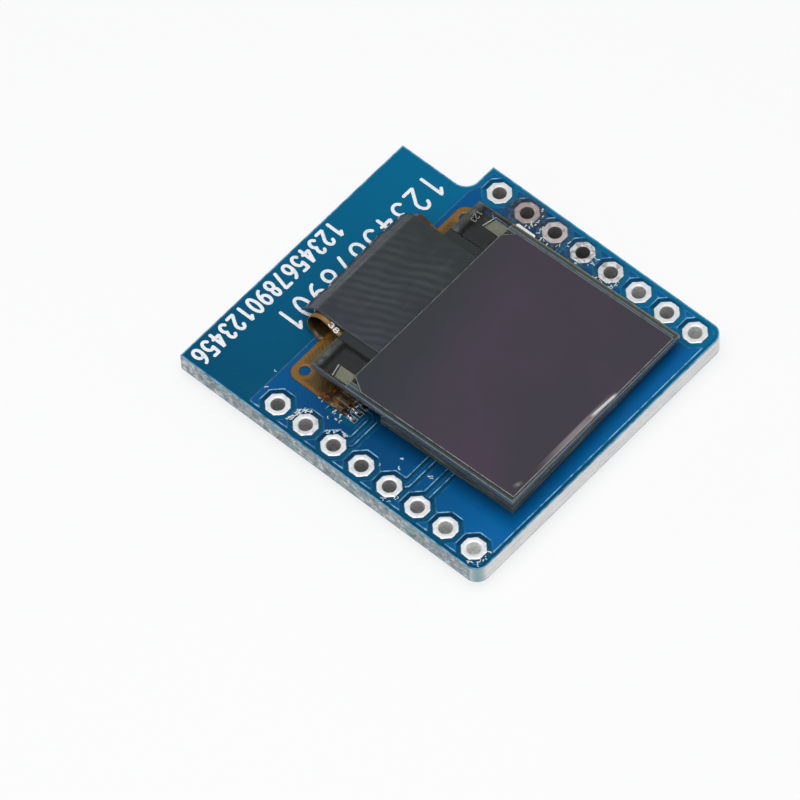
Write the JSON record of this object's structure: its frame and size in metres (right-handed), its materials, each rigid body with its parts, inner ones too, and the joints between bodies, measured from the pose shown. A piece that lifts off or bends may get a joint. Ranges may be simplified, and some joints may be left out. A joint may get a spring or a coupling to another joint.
{
  "type": "small oled module",
  "caption": "Small display module: a glass panel on a folded flex tail, carried by a notched blue pin board.",
  "frame": {"origin": "middle of the board's outline, on the plane that the tallest small parts on its back stand on", "axes": "+Y along the pin rows towards the bare margin and the notch, +X across the rows towards the notched side, +Z out of the screen side of the board"},
  "size_m": [0.0256, 0.0272, 0.0048],
  "materials": {
    "fibreglass": "sawn glass-epoxy edge",
    "blue_mask": "glossy blue lacquer over copper",
    "copper": "bare rolled copper under the lacquer",
    "tinned": "hot-air levelled tin",
    "solder": "bright solder",
    "polyimide": "amber film, satin",
    "gold": "thin gold plating",
    "display_glass": "clear polished glass",
    "screen_film": "dark glossy polarizing film",
    "lit_stack": "dark thin layers",
    "seal": "cured adhesive",
    "desiccant": "dry white film",
    "black_tape": "glossy black tape",
    "foam": "dark foam adhesive",
    "chip": "bare silicon, polished",
    "electrode": "thin metal film",
    "tan_ceramic": "fired ceramic",
    "white_ceramic": "white alumina",
    "glaze": "black glaze"
  },
  "bodies": {
    "root": {"circuit_board": "fibreglass", "top_copper": "copper", "bottom_copper": "copper", "top_solder_mask": "blue_mask", "bottom_solder_mask": "blue_mask", "barrel_row_left": "tinned", "barrel_row_right": "tinned", "flex_lands": "tinned", "flex_tail": "polyimide", "flex_contacts": "gold", "flex_solder": "solder", "foam_pad": "foam", "rear_glass": "display_glass", "desiccant_film": "desiccant", "glass_seal": "seal", "lit_layer": "lit_stack", "front_glass": "display_glass", "left_electrode": "electrode", "right_electrode": "electrode", "ledge_print": "lit_stack", "driver_chip": "chip", "bonding_film": "seal", "polarizer": "screen_film", "light_shield_tape": "black_tape", "rear_solder": "solder", "capacitor_1": "tan_ceramic", "capacitor_ends_1": "tinned", "capacitor_2": "tan_ceramic", "capacitor_ends_2": "tinned", "capacitor_3": "tan_ceramic", "capacitor_ends_3": "tinned", "capacitor_4": "tan_ceramic", "capacitor_ends_4": "tinned", "capacitor_5": "tan_ceramic", "capacitor_ends_5": "tinned", "capacitor_6": "tan_ceramic", "capacitor_ends_6": "tinned", "capacitor_7": "tan_ceramic", "capacitor_ends_7": "tinned", "resistor_1": "white_ceramic", "resistor_ends_1": "tinned", "resistor_glaze_1": "glaze", "resistor_2": "white_ceramic", "resistor_ends_2": "tinned", "resistor_glaze_2": "glaze", "resistor_3": "white_ceramic", "resistor_ends_3": "tinned", "resistor_glaze_3": "glaze", "resistor_4": "white_ceramic", "resistor_ends_4": "tinned", "resistor_glaze_4": "glaze", "resistor_5": "white_ceramic", "resistor_ends_5": "tinned", "resistor_glaze_5": "glaze"}
  },
  "joints": []
}
